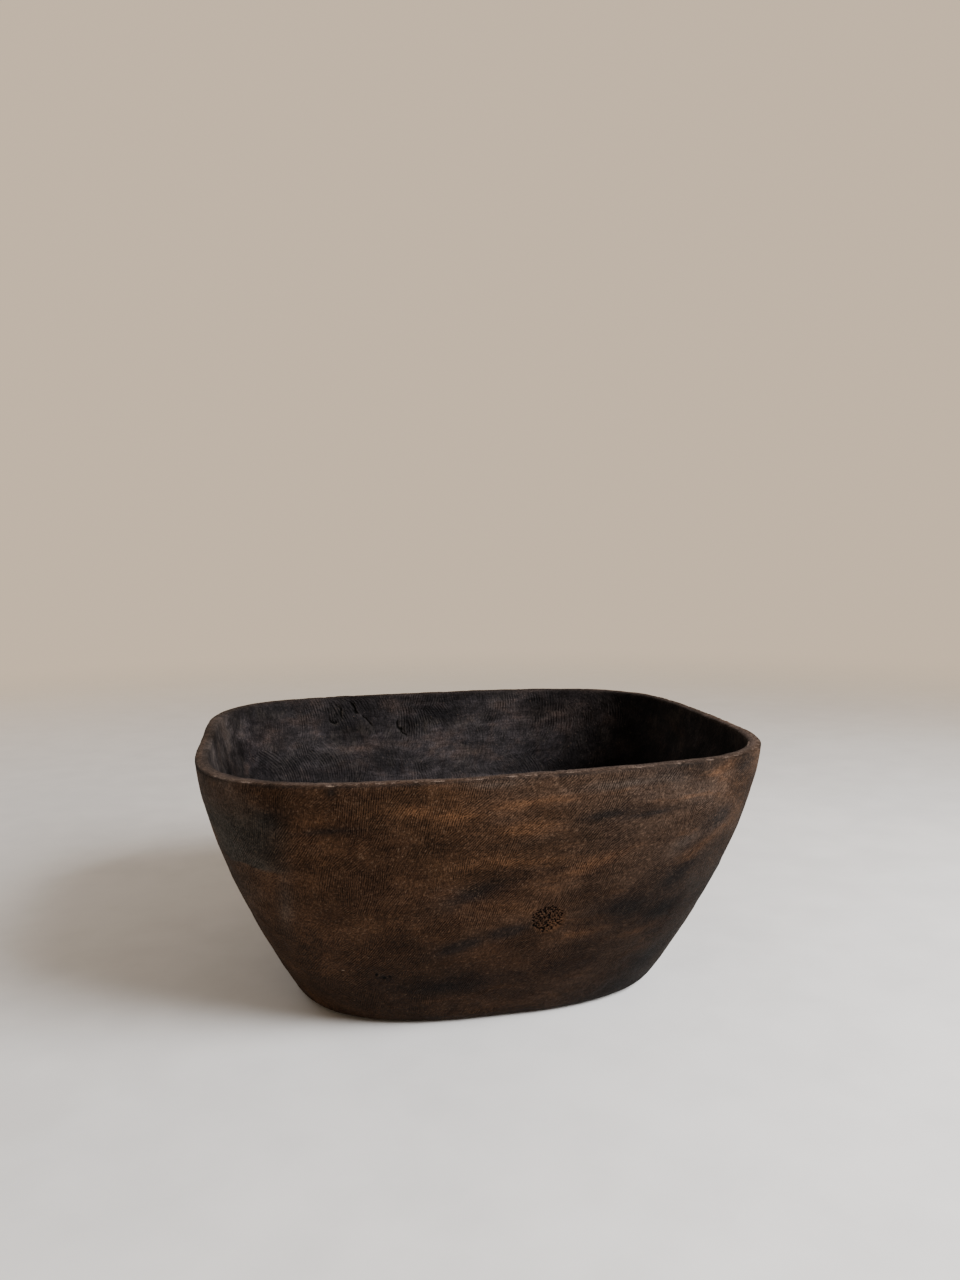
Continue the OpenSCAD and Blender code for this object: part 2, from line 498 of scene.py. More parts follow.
class Skin:
    # The wall as a grid: rows go up the outside, over the rim and down the hollow, and columns go round

    def __init__(self, base, kinds):
        rows, columns = base.shape[:2]
        self.base = base
        self.normal = surfaceNormals(base)
        self.x, self.y, self.z = (base[..., k] for k in range(3))
        step = np.linalg.norm(np.diff(base, axis=0), axis=-1)
        self.climb = np.concatenate([np.zeros((1, columns)), np.cumsum(step, axis=0)])
        middle = base[np.argmin(np.abs(base[: rows // 2, 0, 2] - knotMark["z"]))]
        gap = np.linalg.norm(np.roll(middle, -1, axis=0) - middle, axis=-1)
        self.girth = gap.sum()
        self.places = np.concatenate([[0], np.cumsum(gap)])  # one more than the columns: back at the start
        self.turn = np.broadcast_to(self.places[None, :-1], self.x.shape)
        self.line = np.stack([self.turn, 0 * self.turn, 0 * self.turn], axis=-1)
        rim = np.flatnonzero(kinds == "rim")
        fifth = len(rim) // 5
        self.rimRow = (rim[0] + rim[-1]) // 2
        self.rimMiddle = self.climb[self.rimRow]
        self.outerEdge, self.innerEdge = self.climb[rim[0] + fifth], self.climb[rim[-1] - fifth]
        self.within = shareOf(-0.003, 0.003, self.climb - self.rimMiddle)  # 0 outside and 1 in the hollow
        self.rimTop = hill(self.climb - self.rimMiddle, 0.0062)
        lastRows = kinds == "corner"
        self.floorFade = 1 - shareOf(0.3, 1.0, np.cumsum(lastRows)[:, None] / lastRows.sum())
        self.near = (self.y < 0) & (self.within < 0.5)
        self.nearShare = 1 - shareOf(-0.15, 0.1, self.y)  # 1 on the near side, fading out along the two ends
        self.swell = layeredNoise(base, 0.11, 3, 2)


def handCuts(skin):
    # Broad unevenness, adze flats outside and gouge cuts in the hollow
    work = handWork
    flatRows = skin.climb + 0.006 * np.sin(skin.turn * 40)
    flats = tilts(skin.turn, flatRows, work["outerFlat"], skin.girth, 21)
    scoopRows = skin.climb + 0.012 * np.sin(skin.turn * 23)
    cuts = scoops(skin.turn, scoopRows, work["innerScoop"], skin.girth, 31)
    spread = np.stack([skin.turn, skin.climb, 0 * skin.turn], axis=-1)
    outside = work["outerSwell"] * skin.swell
    outside = outside + work["outerFlatRise"] * flats * shareOf(0.0, 0.03, skin.climb)
    outside = outside + work["outerGrit"] * layeredNoise(skin.base, 0.01, 9, 2)
    inside = work["innerSwell"] * skin.swell + work["innerScoopDepth"] * (cuts - 0.25)
    inside = inside + work["innerGrit"] * layeredNoise(spread, (0.014, 0.03, 1), 5, 2)
    lift = outside * (1 - skin.within) + inside * skin.within * skin.floorFade
    lift = lift * (1 - 0.75 * skin.rimTop) * shareOf(0, 0.01, skin.climb)
    return lift + skin.rimTop * work["rimSwell"] * noise(skin.line, (0.028, 1, 1), 13), cuts


def knotWork(skin, mark):
    # A knot eaten into small pits, in a low swelling of bent grain
    rows, columns = skin.x.shape
    row = np.argmin(np.abs(skin.base[: rows // 2, :, 2] - mark["z"]), axis=0)
    across = np.where(skin.near, skin.x - mark["x"], 1)
    up = skin.climb - skin.climb[row, np.arange(columns)]
    reach = np.where(skin.near, np.hypot(across, up), 1)
    pits = np.where(skin.near, knotPits(mark, across, up), 0)
    knot = 1 - shareOf(mark["radius"] * 0.85, mark["radius"] * 1.15, reach)
    lift = mark["swelling"] * hill(reach - mark["radius"] * 1.25, 0.004)
    lift = lift - mark["depth"] * pits - mark["sunk"] * knot
    warm = knot * np.clip(0.35 + (across - up) / mark["radius"] * 0.4, 0, 1)
    bent = np.where(skin.near, up * 0.9 * np.exp(-((reach / 0.03) ** 2)), 0)
    return lift, pits, warm, bent


def spots(skin, places, flatness=1.0):
    total = np.zeros_like(skin.x)
    for x, z, wide in places:
        spot = hill(np.hypot(skin.x - x, (skin.z - z) * flatness), wide)
        total = np.maximum(total, np.where(skin.near, spot, 0))
    return total


def tornGrain(skin):
    # Cracks where the grain tore out on the hollow's far side, each in a shallow dip and with a lip beside it
    cracks, lips, dips = np.zeros_like(skin.x), np.zeros_like(skin.x), np.zeros_like(skin.x)
    far = (skin.y > 0) & (skin.within > 0.5) & (skin.z > 0.12)
    wobble = 0.0012 * noise(skin.base, 0.006, 41)
    for path, width, deep in wallCracks:
        away, place = distanceToPath(skin.x + wobble, skin.z + wobble, path)
        ends = np.clip(4 * place * (1 - place) + 0.35, 0, 1)
        cracks = np.maximum(cracks, np.where(far, hill(away, width) * ends * deep / 0.0018, 0))
        dips = np.maximum(dips, np.where(far, hill(away, 4.5 * width) * ends, 0))
        aside, _ = distanceToPath(skin.x + wobble - 1.7 * width, skin.z + wobble + 1.7 * width, path)
        lips = np.maximum(lips, np.where(far, hill(aside, 1.1 * width) * ends * (1 - hill(away, width)), 0))
    return cracks, lips, dips


def rimWear(skin):
    # Rounding, nicks and chips along the rim's two edges
    outer = hill(skin.climb - skin.outerEdge, damage["outerEdge"])
    inner = hill(skin.climb - skin.innerEdge, damage["innerEdge"])
    rough = np.maximum(0, layeredNoise(skin.line, (0.016, 1, 1), 51))
    rough = rough + 0.5 * np.maximum(0, noise(skin.line, (0.005, 1, 1), 55))
    wear = outer * rough + inner * np.maximum(0, layeredNoise(skin.line, (0.019, 1, 1), 57))
    draw = np.random.default_rng(5)
    nicks = np.zeros_like(skin.x)
    for _ in range(damage["nicks"]):
        at, wide = draw.uniform(0, skin.girth), draw.uniform(*damage["nickWidths"])
        deep, edge = draw.uniform(0.2, 1), inner if draw.random() < damage["innerNicks"] else outer
        nicks = np.maximum(nicks, deep * hill(skin.turn - at, wide) * edge)
    bites = np.zeros_like(skin.x)
    for x, wide, deep in rimChips:
        bite = deep / damage["bite"] * hill(skin.x - x, wide) * hill(skin.climb - skin.outerEdge, 0.0034)
        bites = np.maximum(bites, np.where(skin.y < 0, bite, 0))
    right = 0.13 * shareOf(0.1, 0.26, skin.x)
    wearAndPaintedLight = 1 - 0.85 * shareOf(-0.22, -0.05, skin.y - right)  # 1 on the near side: the rim and its worn edges are painted paler there as painted light, and darker on the far side and the ends as painted shade, where the wear is also shallower
    return wear, nicks, bites, outer, wearAndPaintedLight


def patchesOf(skin, near, far, seed):
    # Marks on the near side and on the hollow's far side at their own places, and stray ones everywhere else
    x, z = skin.x + 0.004 * skin.swell, skin.z + 0.004 * skin.swell
    middle = 1 - shareOf(0.22, 0.27, np.abs(skin.x))
    onNear = np.where(skin.near, middle, 0)
    onFar = np.where((skin.y > 0) & (skin.within > 0.5) & (skin.z > 0.13), middle, 0)
    total = np.zeros_like(skin.x)
    for marks, face in ((near, onNear), (far, onFar)):
        for place, height, long, tall, slope in marks:
            total = np.maximum(total, face * patchStrength(x - place, z - height, long, tall, slope))
    draw = np.random.default_rng(seed)
    bowed = skin.climb + 0.008 * skin.swell
    for _ in range(strayPatches["count"]):
        at, height = draw.uniform(0, skin.girth), draw.uniform(0, skin.climb.max())
        long, tall = draw.uniform(*strayPatches["length"]), draw.uniform(*strayPatches["height"])
        slope = draw.uniform(*strayPatches["slope"])
        strips = np.flatnonzero(np.abs(skin.places[:-1] - at) < 2.5 * long)
        stray = patchStrength(skin.turn[:, strips] - at, bowed[:, strips] - height, long, tall, slope)
        stray = stray * (1 - onNear[:, strips]) * (1 - onFar[:, strips])
        total[:, strips] = np.maximum(total[:, strips], stray)
    return total


# Where the brown turns grey on the near side, and where painted shade darkens it or painted light lightens
# it: each pair is where a change begins and ends, in metres
coolPlaces = {
    "rightEnd": (0.19, 0.26),
    "litLeftCorner": (0.215, 0.27),
}
paintedShadePlaces = {
    "low": (0.02, 0.24),
    "right": (-0.12, 0.16),
    "farRight": (0.0, 0.2),
    "upper": (0.1, 0.26),
    "left": (0.07, 0.16),
    "leftTop": (0.19, 0.24),
    "litLeftCorner": (0.215, 0.275),
    "rightEnd": (0.205, 0.26),
    "rightTop": (0.24, 0.27),
    "foot": (0.0, 0.02),
    "hollowRight": (-0.02, 0.2),
    "hollowLeft": (0.06, 0.18),
}


def coolness(skin):
    # Where the brown turns grey: towards the near side's right end and here and there, and at its left
    # corner, where the grey is a painted sheen
    anywhere = 0.45 + 0.55 * layeredNoise(skin.base, 0.15, 75, 2)
    near = 0.13 + 2.7 * skin.x + 0.9 * (skin.z - 0.15) + 0.25 * skin.swell
    near = near - 0.7 * shareOf(*coolPlaces["rightEnd"], skin.x)
    # painted sheen: the near side's left corner greyer
    near = np.maximum(near, 0.8 * shareOf(*coolPlaces["litLeftCorner"], -skin.x))
    return np.clip(anywhere + (near - anywhere) * skin.nearShare, 0, 1)


def paintedShading(skin):
    # Painted shade: the outside darkens towards the foot and the right, with a painted contact shadow along
    # the foot, and the hollow towards its two ends, most at its shaded right end; the near side's left corner
    # is lightened as painted light
    places = paintedShadePlaces
    low = 1 - shareOf(*places["low"], skin.z + 0.05 * skin.swell)
    right, farRight = shareOf(*places["right"], skin.x), shareOf(*places["farRight"], skin.x)
    upper = 1 - shareOf(*places["upper"], skin.z)
    near = np.maximum(low * (0.6 + 0.4 * right + 0.2 * farRight), (0.9 + 0.2 * farRight) * right * upper)
    near = near + 0.22 * shareOf(*places["left"], -skin.x) * shareOf(*places["leftTop"], skin.z)
    # painted light: the near side's left corner lighter
    near = near - 0.95 * shareOf(*places["litLeftCorner"], -skin.x)
    outside = 0.75 * low + (near - 0.75 * low) * skin.nearShare
    rightEnd = shareOf(*places["rightEnd"], skin.x) * (1 - shareOf(*places["rightTop"], skin.z))
    outside = outside + 0.65 * rightEnd * skin.nearShare
    outside = outside + 0.25 * (1 - shareOf(*places["foot"], skin.z))
    hollow = 0.88 * shareOf(*places["hollowRight"], skin.x + 0.03 * skin.swell)
    hollow = np.maximum(hollow, 0.24 + 0.22 * shareOf(*places["hollowLeft"], 0.02 * skin.swell - skin.x))
    return np.where(skin.within > 0.5, hollow, outside)


def paintedSheenBand(skin):
    # Painted sheen: a paler band on the hollow's left end, under the rim, where the light falls
    band = shareOf(0.255, 0.282, -skin.x) * shareOf(0.19, 0.24, skin.z)
    return np.where(skin.within > 0.5, band * (0.55 + 0.35 * skin.swell), 0)


def cornerStain(skin):
    # A dark stain on the near left corner that ends in a sharp line below
    line = 0.187 + 0.003 * noise(skin.line, (0.02, 1, 1), 83)
    across = shareOf(0.195, 0.235, -skin.x) * (1 - shareOf(-0.15, -0.12, skin.y))
    upper = shareOf(0, 0.0025, skin.z - line) * (1 - shareOf(0.225, 0.262, skin.z))
    return np.where(skin.near, across * upper, 0)


def underRim(skin):
    # A thin dark line just under the rim, stronger here and there
    line = hill(skin.climb - skin.outerEdge + 0.0032, 0.0017)
    return line * np.clip(0.6 + 0.6 * layeredNoise(skin.line, (0.03, 1, 1), 91), 0, 1)


def carve(skin):
    # Moves the wall's points along their normals, and returns the marks that the wood's finish reads
    lift, cuts = handCuts(skin)
    knotLift, pits, knot, bent = knotWork(skin, knotMark)
    holes, chips = spots(skin, wormHoles), spots(skin, flakes, 1.7)
    cracks, lips, dips = tornGrain(skin)
    wear, nicks, bites, outer, wearAndPaintedLight = rimWear(skin)
    lift = lift + knotLift - damage["hole"] * holes - damage["flake"] * chips
    lift = lift - damage["crack"] * cracks + damage["lip"] * lips - damage["dip"] * dips
    worn = (damage["edgeWear"] * wear + damage["nick"] * nicks) * (0.4 + 0.6 * wearAndPaintedLight)
    lift = lift - worn - damage["bite"] * bites
    upward = np.gradient(skin.base, axis=0)
    upward = upward / np.linalg.norm(upward, axis=-1, keepdims=True)
    upward = upward * np.where(skin.within > 0.5, -1, 1)[..., None]
    marks = {
        "within": skin.within,
        # painted light: the rim paler on the near side, darker on the far side and the ends
        "rimTop": skin.rimTop * (0.35 + 0.65 * wearAndPaintedLight),
        "underRim": underRim(skin),
        # real wear, with a painted highlight along the near rim's outer edge
        "edgeWear": np.clip(0.9 * wear + 0.7 * nicks + 0.8 * bites + 0.2 * outer, 0, 1) * wearAndPaintedLight,
        "chips": np.clip(chips + bites * (0.55 + 0.9 * noise(skin.base, 0.0035, 93)), 0, 1),
        "lips": lips,
        # how black the pits, holes and cracks are painted, as painted shade
        "holes": np.clip(pits + holes + cracks * 0.58, 0, 1),
        "knot": knot,
        "ridges": np.clip(cuts * 1.6, 0, 1) * skin.within,
        "tan": patchesOf(skin, tanStreaks, hollowBrowns, 101),
        "stain": patchesOf(skin, darkStains, hollowStains, 103),
        # pale smears, with the painted sheen band on the hollow's left end
        "pale": np.maximum(patchesOf(skin, paleSmears, [], 105), paintedSheenBand(skin)),
        "cornerStain": cornerStain(skin),
        "cool": coolness(skin),
        # painted shade, and painted light at the near left corner
        "paintedShade": paintedShading(skin),
        "bentGrain": bent,
        "sideways": np.cross(upward, skin.normal),
        "upward": upward,
    }
    return skin.base + skin.normal * lift[..., None], marks


def framed(sheet, ring):
    # Lays a closed ring of 4 m entries round the edge of an m by m sheet
    m = len(ring) // 4
    count = np.arange(m + 1)
    sheet[:, 0], sheet[m, :] = ring[count], ring[m + count]
    sheet[:, m], sheet[0, :] = ring[3 * m - count], ring[(4 * m - count) % (4 * m)]
    return sheet


def capGrid(ring):
    # Fills a closed ring of points with a sheet of four-sided faces
    m = len(ring) // 4
    sheet = framed(np.zeros((m + 1, m + 1, 3)), ring)
    count = np.arange(m + 1)
    s, t = count[:, None, None] / m, count[None, :, None] / m
    edges = (1 - t) * sheet[:, :1] + t * sheet[:, m:] + (1 - s) * sheet[:1, :] + s * sheet[m:, :]
    corners = (1 - s) * (1 - t) * sheet[0, 0] + s * (1 - t) * sheet[m, 0]
    corners = corners + (1 - s) * t * sheet[0, m] + s * t * sheet[m, m]
    return edges - corners


def capIndices(ringIndices, first):
    # The point number at each place of a cap: the ring's own on its edge, and new ones inside
    m = len(ringIndices) // 4
    index = framed(np.zeros((m + 1, m + 1), np.int64), ringIndices)
    index[1:m, 1:m] = first + np.arange((m - 1) ** 2).reshape(m - 1, m - 1)
    return index


def gridFaces(index):
    return np.stack([index[:-1, :-1], index[1:, :-1], index[1:, 1:], index[:-1, 1:]], axis=-1).reshape(-1, 4)


# Layout of the flat map that finishes are kept on, as shares of its side
mapLayout = {"scale": 0.755, "gap": 0.006, "capColumn": 0.725}  # scale is map sides per metre


def unwrap(mesh, skin, points, corners, wallFaces, footFirst):
    # Outside and hollow are two half strips each, one above the other, with the floor and foot beside them
    scale, gap = mapLayout["scale"], mapLayout["gap"]
    rows, columns = skin.x.shape
    climb = skin.climb.mean(axis=1)
    face = np.arange(wallFaces)
    row, column = face // columns, face % columns
    inHollow, secondHalf = row >= skin.rimRow, column >= columns // 2
    outerHeight = climb[skin.rimRow] * scale + gap
    innerHeight = (climb[-1] - climb[skin.rimRow]) * scale + gap
    left = np.where(secondHalf, skin.places[columns // 2], 0)
    base = gap + secondHalf * np.where(inHollow, innerHeight, outerHeight) + inHollow * 2 * outerHeight
    level = np.where(inHollow, climb[skin.rimRow], 0)
    placed = np.zeros((len(corners), 2))
    for k, (up, along) in enumerate(((0, 0), (0, 1), (1, 1), (1, 0))):
        placed[k : 4 * wallFaces : 4, 0] = gap + (skin.places[column + along] - left) * scale
        placed[k : 4 * wallFaces : 4, 1] = base + (climb[row + up] - level) * scale

    # Foot and floor lie flat, turned so that their length goes up the map
    caps = corners[4 * wallFaces :]
    onFoot = (caps >= footFirst) | (caps < columns)
    flat = np.stack([-points[caps, 1], points[caps, 0]], axis=-1) * scale
    middle = mapLayout["capColumn"] + (1 - mapLayout["capColumn"]) / 2
    footHalf = flat[onFoot, 1].max()
    floorHalf = flat[~onFoot, 1].max()
    height = np.where(onFoot, gap + footHalf, 3 * gap + 2 * footHalf + floorHalf)
    placed[4 * wallFaces :] = flat + np.stack([np.full(len(caps), middle), height], axis=-1)
    layer = mesh.uv_layers.new(name="OFBake")
    layer.uv.foreach_set("vector", placed.astype(np.float32).ravel())
    print("flat map reaches", placed.max(axis=0).round(3))


def planeRing(ring, level):
    # Every other point of a wall's last row, drawn in a little and laid level
    flat = ring[::2].copy()
    flat[:, :2] *= 0.985
    flat[:, 2] = level
    return flat


def outward(sheet, edge, squareness):
    # 0 in the middle of a sheet and 1 at its edge
    along, across = np.abs(sheet[..., 0]) / edge[0], np.abs(sheet[..., 1]) / edge[1]
    return along**squareness + across**squareness


def makeFloorSheet(ring, edge):
    # The dished floor, with gouge cuts that fade out at its edge
    sheet = capGrid(ring)
    part = outward(sheet, edge, edge[2])
    dish = bowlForm["floorDish"] * (1 - np.clip(part ** (1 / edge[2]), 0, 1) ** 2)
    cuts = scoops(sheet[..., 0] + 1, sheet[..., 1] + 1, handWork["floorScoop"], 2.0, 61)
    uneven = handWork["floorScoopDepth"] * (cuts - 0.25) + handWork["floorSwell"] * noise(sheet, 0.06, 63)
    sheet[..., 2] += -dish + (1 - shareOf(0.75, 1.0, part)) * uneven
    return sheet


def makeFootSheet(ring, edge):
    # The underside, hewn a little hollow so that it stands on its edge
    sheet = capGrid(ring)
    part = outward(sheet, edge, bowlForm["footSquareness"])
    flats = tilts(sheet[..., 0] + 1, sheet[..., 1] + 1, handWork["footFlat"], 2.0, 71)
    hewn = handWork["footHollow"] * (0.55 + 0.3 * flats) * (1 - shareOf(0.55, 0.95, part))
    sheet[..., 2] += np.maximum(0, hewn)
    return sheet


def halving(line, inner):
    # Three triangles join two steps of a line to one step of a line half as fine
    a, b, c = line[0::2], line[1::2], np.roll(line[0::2], -1)
    p, q = inner, np.roll(inner, -1)
    return np.concatenate([np.stack(t, axis=-1) for t in ((a, b, p), (b, q, p), (b, c, q))])


def capPoints(columns):
    # How many points the floor has, and the foot as well: a ring and the inside of its sheet
    return columns // 2 + (columns // 8 - 1) ** 2


def closedBowl(walls, rings):
    # All points, four-sided faces and triangles: the wall, then the floor's ring and sheet, then the foot's
    rows, columns = walls.shape[:2]
    floorRing, footRing = planeRing(walls[-1], walls[-1][::2, 2].mean()), planeRing(walls[0], 0)
    floorSheet, footSheet = makeFloorSheet(floorRing, rings[-1]), makeFootSheet(footRing, rings[0])
    points = np.concatenate([
        walls.reshape(-1, 3), floorRing, floorSheet[1:-1, 1:-1].reshape(-1, 3),
        footRing, footSheet[1:-1, 1:-1].reshape(-1, 3),
    ])
    half = columns // 2
    floorLine = rows * columns + np.arange(half)
    footLine = floorLine + capPoints(columns)
    floorIndex, footIndex = (capIndices(line, line[0] + half) for line in (floorLine, footLine))
    wallIndex = np.arange(rows * columns).reshape(rows, columns)
    after = np.roll(wallIndex, -1, axis=1)
    wallFaces = np.stack([wallIndex[:-1], after[:-1], after[1:], wallIndex[1:]], axis=-1).reshape(-1, 4)
    quads = np.concatenate([wallFaces, gridFaces(floorIndex), gridFaces(footIndex)[:, ::-1]])
    floorJoin, footJoin = halving(wallIndex[-1], floorLine), halving(wallIndex[0], footLine)[:, ::-1]
    return points, quads, np.concatenate([floorJoin, footJoin])


def makeMesh(points, quads, triangles):
    mesh = bpy.data.meshes.new("bowl_wood")
    corners = np.concatenate([quads.ravel(), triangles.ravel()]).astype(np.int32)
    starts = np.concatenate([np.arange(len(quads)) * 4, len(quads) * 4 + np.arange(len(triangles)) * 3])
    mesh.vertices.add(len(points))
    mesh.vertices.foreach_set("co", points.astype(np.float32).ravel())
    mesh.loops.add(len(corners))
    mesh.loops.foreach_set("vertex_index", corners)
    mesh.polygons.add(len(starts))
    mesh.polygons.foreach_set("loop_start", starts.astype(np.int32))
    mesh.update(calc_edges=True)
    mesh.shade_smooth()
    return mesh, corners


def keepMarks(mesh, marks, capSize):
    # The wall's marks become attributes of the points, with plain values on the floor and the foot
    for name, values in marks.items():
        if values.ndim == 3:
            plain = np.tile([1.0, 0, 0] if name == "sideways" else [0, 1.0, 0], (2 * capSize, 1))
            values = np.concatenate([values.reshape(-1, 3), plain])
            kind, field = "FLOAT_VECTOR", "vector"
        else:
            plain = np.full(2 * capSize, 0.5 if name == "cool" else 0.0)
            if name == "within":
                plain[:capSize] = 1
            values = np.concatenate([values.ravel(), plain])
            kind, field = "FLOAT", "value"
        layer = mesh.attributes.new(name, kind, "POINT")
        layer.data.foreach_set(field, values.astype(np.float32).ravel())


def makeBowl():
    size = bowlHigh - bowlLow
    size[2] -= bowlForm["rimWave"]
    rings, kinds = rowsOf(bowlForm, size, meshGrain)
    angles = columnAngles(bowlForm, size, meshGrain)
    print("bowl section has", len(rings), "rows of", len(angles), "points")
    skin = Skin(ringPoints(bowlForm, size, rings, angles), kinds)
    walls, marks = carve(skin)
    points, quads, triangles = closedBowl(walls, rings)

    # The whole is brought exactly into the frame's box
    low, high = points.min(0), points.max(0)
    points = (points - low) / (high - low) * (bowlHigh - bowlLow) + bowlLow

    mesh, corners = makeMesh(points, quads, triangles)
    rows, columns = walls.shape[:2]
    capSize = capPoints(columns)
    unwrap(mesh, skin, points, corners, (rows - 1) * columns, rows * columns + capSize)
    keepMarks(mesh, marks, capSize)
    piece = added("hewn_bowl", mesh)
    print("bowl mesh has", len(points), "points and", len(quads) + len(triangles), "faces")
    return piece


bowl = makeBowl()
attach(bowl, "root")
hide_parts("bowl")


class Wire:
    # A socket of a material: sums on it add Math nodes, and node() adds any other node

    def __init__(self, tree, socket=None):
        self.tree = tree
        self.socket = socket

    def node(self, kind, settings=None, links=None, output=0):
        made = self.tree.nodes.new(kind)
        for name, value in (settings or {}).items():
            setattr(made, name, value)
        for name, value in (links or {}).items():
            target = next(s for s in made.inputs if name in (s.identifier, s.name) and s.enabled)
            if isinstance(value, Wire):
                self.tree.links.new(value.socket, target)
            else:
                target.default_value = value
        return Wire(self.tree, made.outputs[output] if len(made.outputs) else None)

    def maths(self, operation, *values):
        names = ("Value", "Value_001", "Value_002")
        return self.node("ShaderNodeMath", {"operation": operation}, dict(zip(names, values)))

    def __add__(self, other):
        return self.maths("ADD", self, other)

    def __radd__(self, other):
        return self.maths("ADD", other, self)

    def __sub__(self, other):
        return self.maths("SUBTRACT", self, other)

    def __rsub__(self, other):
        return self.maths("SUBTRACT", other, self)

    def __mul__(self, other):
        return self.maths("MULTIPLY", self, other)

    def __rmul__(self, other):
        return self.maths("MULTIPLY", other, self)

    def __pow__(self, other):
        return self.maths("POWER", self, other)

    def sine(self):
        return self.maths("SINE", self)

    def cosine(self):
        return self.maths("COSINE", self)

    def between(self, low, high):
        # 0 at low, 1 at high, smooth between and held outside
        return self.node(
            "ShaderNodeMapRange", {"interpolation_type": "SMOOTHSTEP"},
            {"Value": self, "From Min": low, "From Max": high},
        )

    def clipped(self):
        return self.node("ShaderNodeClamp", {}, {"Value": self})

    def mixed(self, other, share):
        # This colour turning into the other one
        return self.node(
            "ShaderNodeMix", {"data_type": "RGBA"},
            {"Factor_Float": share, "A_Color": self, "B_Color": other}, output=2,
        )

    def scaled(self, amount):
        # This colour or vector, stronger or weaker
        return self.vector("SCALE", Scale=amount)

    def vector(self, operation, other=None, output=0, **links):
        if other is not None:
            links["Vector_001"] = other
        return self.node("ShaderNodeVectorMath", {"operation": operation}, {"Vector": self, **links}, output)

    def other(self, output):
        # Another output of the same node
        return Wire(self.tree, self.socket.node.outputs[output])

    def attribute(self, name, output="Fac"):
        return self.node("ShaderNodeAttribute", {"attribute_name": name}).other(output)

    def colour(self, value):
        made = self.node("ShaderNodeRGB")
        made.socket.default_value = value
        return made

    def noise(self, place, scale, layers, roughness=0.55):
        return self.node(
            "ShaderNodeTexNoise", {},
            {"Vector": place, "Scale": scale, "Detail": layers, "Roughness": roughness},
        )


def freshWire(owner):
    # Clears the nodes of a material or a room, ready for new ones
    owner.use_nodes = True
    owner.node_tree.nodes.clear()
    return Wire(owner.node_tree)


# Colours are linear, and sizes are in metres
woodLook = {
    "warm": (0.039, 0.019, 0.0094, 1),
    "cool": (0.029, 0.0214, 0.0172, 1),
    "tan": (0.096, 0.0455, 0.0215, 1),
    # painted glints
    "paintedGlint": (0.105, 0.07, 0.046, 1),
    "stain": (0.007, 0.0062, 0.006, 1),
    "corner": (0.017, 0.0178, 0.016, 1),
    "hollow": (0.0222, 0.019, 0.02, 1),
    "hollowBrown": (0.034, 0.021, 0.015, 1),
    "hollowDark": (0.004, 0.0038, 0.005, 1),
    "pale": (0.058, 0.048, 0.041, 1),
    "rim": (0.074, 0.052, 0.042, 1),
    # paler worn wood, also a painted highlight on the near rim's edge
    "worn": (0.165, 0.122, 0.098, 1),
    "freshWood": (0.23, 0.165, 0.118, 1),
    # near black: the pores' dark dots, and painted shade in pits, holes and cracks
    "pit": (0.0015, 0.0012, 0.001, 1),
    "outerStroke": {  # width of one tool stroke, gap between its cuts, lean, and how much both vary
        "patch": 0.032, "gap": 0.0021, "lean": math.radians(-35), "spread": 0.9, "seed": 0, "curl": 0,
    },
    "hollowStroke": {"patch": 0.055, "gap": 0.0036, "lean": 0.08, "spread": 0.7, "seed": 3, "curl": 0.5},
    "streak": (9.0, 70.0, 90.0),  # scales of the textures that follow the grain
    "fibre": (60.0, 600.0, 700.0),
    "broad": (5.0, 9.0, 12.0),
    "blotch": (16.0, 28.0, 36.0),
    "speck": 420.0,
    "pore": 900.0,
    # how strong the painted shade is
    "paintedShadeStrength": 0.62,
    "outsideShares": {  # how strongly each colour shows
        "streaks": 0.3, "tan": 0.72, "stain": 0.78, "pale": 0.45, "underRim": 0.85, "corner": 0.75,
        "paintedGlint": 0.7, "pores": 0.6,
    },
    "hollowShares": {
        "clouds": 0.35, "tan": 0.5, "stain": 0.78, "pale": 0.5, "ridges": 0.15, "paintedRidgeHighlights": 0.34,
        "paintedGlint": 0.4,
    },
    "wornShares": {"rim": 0.9, "edges": 0.8, "chips": 0.8, "lips": 0.9},
    "relief": {"groove": -0.56, "hollowGroove": -0.56, "fibre": 0.16, "speck": 0.26, "pore": 0.08},  # mm
    "broadRelief": {"streak": 0.1, "blotch": 0.5},
    "roughness": 0.66,
    "shine": 0.05,
}


def strokes(wire, place, stroke):
    # Fine cuts side by side in each tool stroke, turned a little from one stroke to the next:
    # a wave across them and broken dashes along them, both from 0 to 1
    gap, seed = stroke["gap"], stroke["seed"]
    offset = place.vector("ADD", (seed, seed * 0.7, seed * 1.3))
    wobble = wire.noise(place, 38.0, 2)
    cells = wire.node("ShaderNodeTexVoronoi", {}, {"Vector": offset, "Scale": 1 / stroke["patch"]})
    random = wire.node("ShaderNodeSeparateColor", {}, {"Color": cells.other("Color")})
    local = offset.vector("SUBTRACT", cells.other("Position"))
    sideways = local.vector("DOT_PRODUCT", wire.attribute("sideways", "Vector"), output=1)
    upward = local.vector("DOT_PRODUCT", wire.attribute("upward", "Vector"), output=1)
    turn = (random - 0.5) * stroke["spread"] + stroke["lean"] + upward * (stroke["curl"] / stroke["patch"])
    across = sideways * turn.cosine() + upward * turn.sine()
    along = upward * turn.cosine() - sideways * turn.sine()
    wave = (across * (2 * math.pi / gap) + random.other(1) * 6.28 + wobble * 4.0).sine() * 0.5 + 0.5
    dashPlace = wire.node("ShaderNodeCombineXYZ", {}, {
        "X": across * (1.5 / gap), "Y": along * (0.46 / gap), "Z": random.other(2) * 40,
    })
    return wave, wire.noise(dashPlace, 1.0, 2, 0.7).between(0.36, 0.64)


